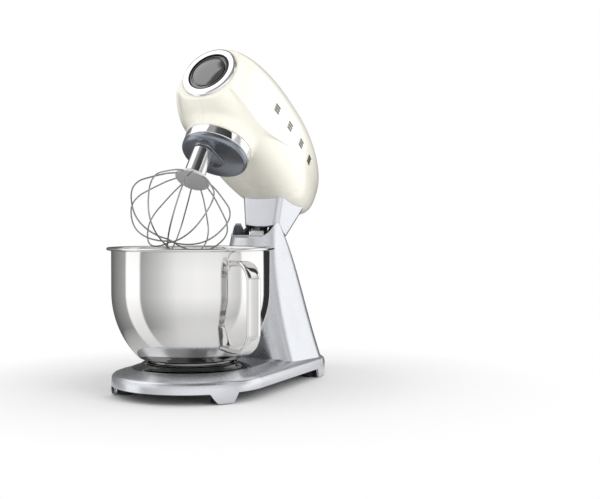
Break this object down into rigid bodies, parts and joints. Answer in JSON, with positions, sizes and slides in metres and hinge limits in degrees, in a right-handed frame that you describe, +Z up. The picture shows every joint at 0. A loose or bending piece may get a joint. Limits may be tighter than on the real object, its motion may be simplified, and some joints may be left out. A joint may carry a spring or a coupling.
{
  "type": "stand mixer",
  "caption": "Tilt-head stand mixer, head raised, with a steel bowl on its seat and a balloon whisk on a geared planetary drive.",
  "frame": {"origin": "on the table, under the middle of the mixer's outline with its head raised", "axes": "+Z up, -Y towards the front (the bowl's side), +X to the right of the mixer"},
  "size_m": [0.2634, 0.463, 0.489],
  "materials": {
    "silver_paint": "satin metallic",
    "cream_enamel": "gloss",
    "chrome": "polished",
    "stainless": "polished",
    "steel": "satin",
    "cast_alloy": "as cast",
    "satin_alloy": "satin",
    "brass": "machined",
    "copper_windings": "wound",
    "black_rubber": "matte",
    "black_plastic": "matte",
    "green_board": "satin"
  },
  "bodies": {
    "stand": {"base_casting": "silver_paint", "column": "silver_paint", "bottom_cover": "black_plastic", "cover_screws": "steel", "rubber_feet": "black_rubber", "bowl_seat": "chrome", "seat_screws": "steel", "column_bolts": "steel", "hinge_pin": "steel", "catch_plate": "steel", "catch_housing": "black_plastic", "cord_inlet": "black_rubber", "button_bezel": "chrome"},
    "button": {"release_button": "black_plastic"},
    "lock": {"lock_bolt": "steel"},
    "head": {"head_shell_left": "cream_enamel", "head_shell_right": "cream_enamel", "neck_collar": "silver_paint", "head_frame": "cast_alloy", "hinge_bushes": "brass", "hub_ring": "chrome", "ring_gear": "steel", "carrier_bearing": "steel", "top_bearing": "steel", "motor_stator": "steel", "stator_bolts": "steel", "motor_bearings": "steel", "circuit_board": "green_board", "badge_ring": "chrome", "outlet_socket": "black_plastic", "speed_plate": "chrome", "side_trim": "chrome"},
    "lever": {"speed_lever": "chrome"},
    "cap": {"outlet_cap": "chrome"},
    "outlet": {"outlet_drive": "steel"},
    "carrier": {"planet_carrier": "cast_alloy", "planetary_cap": "satin_alloy", "worm_wheel": "brass", "crown_gear": "brass"},
    "beater": {"beater_shaft": "steel", "planet_pinion": "steel", "cross_pin": "steel"},
    "whisk": {"whisk_socket": "stainless", "whisk_disc": "satin_alloy", "whisk_wires": "steel"},
    "motor": {"motor_armature": "copper_windings", "cooling_fan": "black_plastic", "motor_worm": "steel"},
    "bowl": {"mixing_bowl": "stainless", "bowl_foot": "stainless", "bowl_handle": "stainless", "handle_tab": "stainless"}
  },
  "joints": [
    {"name": "head_tilt", "type": "hinge", "parent": "stand", "child": "head", "pos_m": [-0.0149, 0.1, 0.18], "axis": [-1, 0, 0], "range_deg": [-33.5, 0]},
    {"name": "button_press", "type": "slide", "parent": "stand", "child": "button", "axis": [0, -0.9781, -0.2079], "range_m": [0, 0.004], "stiffness_N_per_m": 600},
    {"name": "lock_draw", "type": "slide", "parent": "stand", "child": "lock", "axis": [1, 0, 0], "range_m": [0, 0.004]},
    {"name": "speed_slide", "type": "slide", "parent": "head", "child": "lever", "axis": [0, 0.8192, -0.5736], "range_m": [0, 0.054]},
    {"name": "cap_pull", "type": "slide", "parent": "head", "child": "cap", "axis": [0, -0.8339, 0.5519], "range_m": [0, 0.06]},
    {"name": "carrier_spin", "type": "hinge", "parent": "head", "child": "carrier", "pos_m": [-0.0149, -0.05169, 0.34036], "axis": [0, 0.5519, 0.8339], "continuous": true},
    {"name": "beater_spin", "type": "hinge", "parent": "carrier", "child": "beater", "pos_m": [-0.01741, -0.07159, 0.35353], "axis": [0, 0.5519, 0.8339], "continuous": true},
    {"name": "motor_spin", "type": "hinge", "parent": "head", "child": "motor", "pos_m": [0.0141, -0.01968, 0.38873], "axis": [0, 0.8339, -0.5519], "continuous": true},
    {"name": "outlet_spin", "type": "hinge", "parent": "head", "child": "outlet", "pos_m": [-0.0149, -0.02996, 0.42755], "axis": [0, -0.8339, 0.5519], "continuous": true},
    {"name": "whisk_pull", "type": "slide", "parent": "beater", "child": "whisk", "axis": [0, -0.5519, -0.8339], "range_m": [0, 0.027]},
    {"name": "bowl_lift", "type": "slide", "parent": "stand", "child": "bowl", "axis": [0, 0, 1], "range_m": [0, 0.03]}
  ],
  "couplings": [
    {"joint": "lock_draw", "follows": "button_press", "ratio": 1},
    {"joint": "beater_spin", "follows": "carrier_spin", "ratio": -4},
    {"joint": "motor_spin", "follows": "carrier_spin", "ratio": 36},
    {"joint": "outlet_spin", "follows": "carrier_spin", "ratio": 3}
  ]
}
